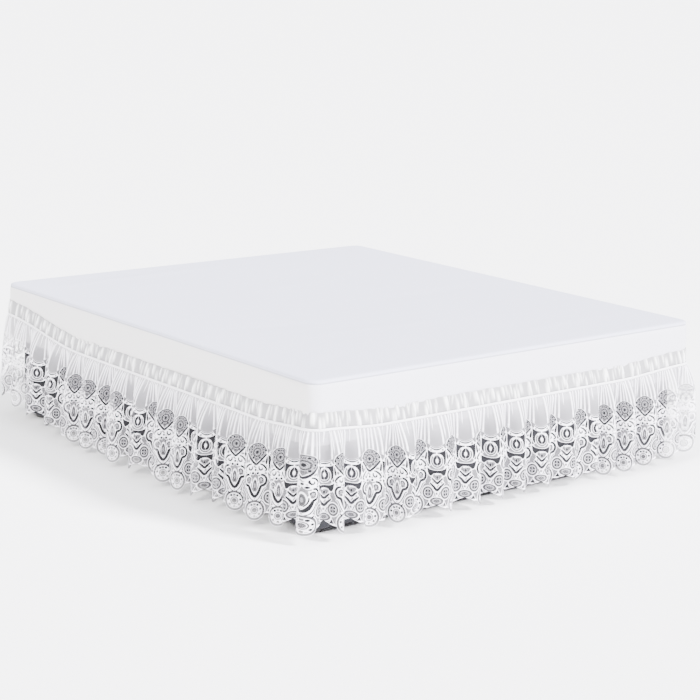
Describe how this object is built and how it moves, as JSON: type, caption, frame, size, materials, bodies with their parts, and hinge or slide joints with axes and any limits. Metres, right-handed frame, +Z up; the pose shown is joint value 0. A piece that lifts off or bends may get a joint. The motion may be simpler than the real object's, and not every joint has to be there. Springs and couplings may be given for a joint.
{
  "type": "gathered lace bed skirt on a mattress and bed base",
  "caption": "Wrap-round bed skirt: a short gathered frill on an elastic band over a hanging skirt of openwork lace with a scalloped hem, fitted round a plain mattress on a deep box base.",
  "frame": {"origin": "on the floor under the middle of the bed", "axes": "+Z up, +Y along the bed towards its head, +X across it to the right as seen from the foot"},
  "size_m": [1.9494, 2.148, 0.54],
  "materials": {
    "white_lace": "soft white machine lace",
    "frill_cotton": "gathered white cloth",
    "elastic_white": "white covered elastic",
    "cover_white": "smooth cool white cloth",
    "base_grey": "matt dark grey",
    "leg_black": "matt black"
  },
  "bodies": {
    "root": {"lace_skirt": "white_lace", "heading_frill": "frill_cotton", "elastic_band": "elastic_white", "mattress": "cover_white", "bed_base": "base_grey", "leg_1": "leg_black", "leg_2": "leg_black", "leg_3": "leg_black", "leg_4": "leg_black", "leg_5": "leg_black", "leg_6": "leg_black"}
  },
  "joints": []
}
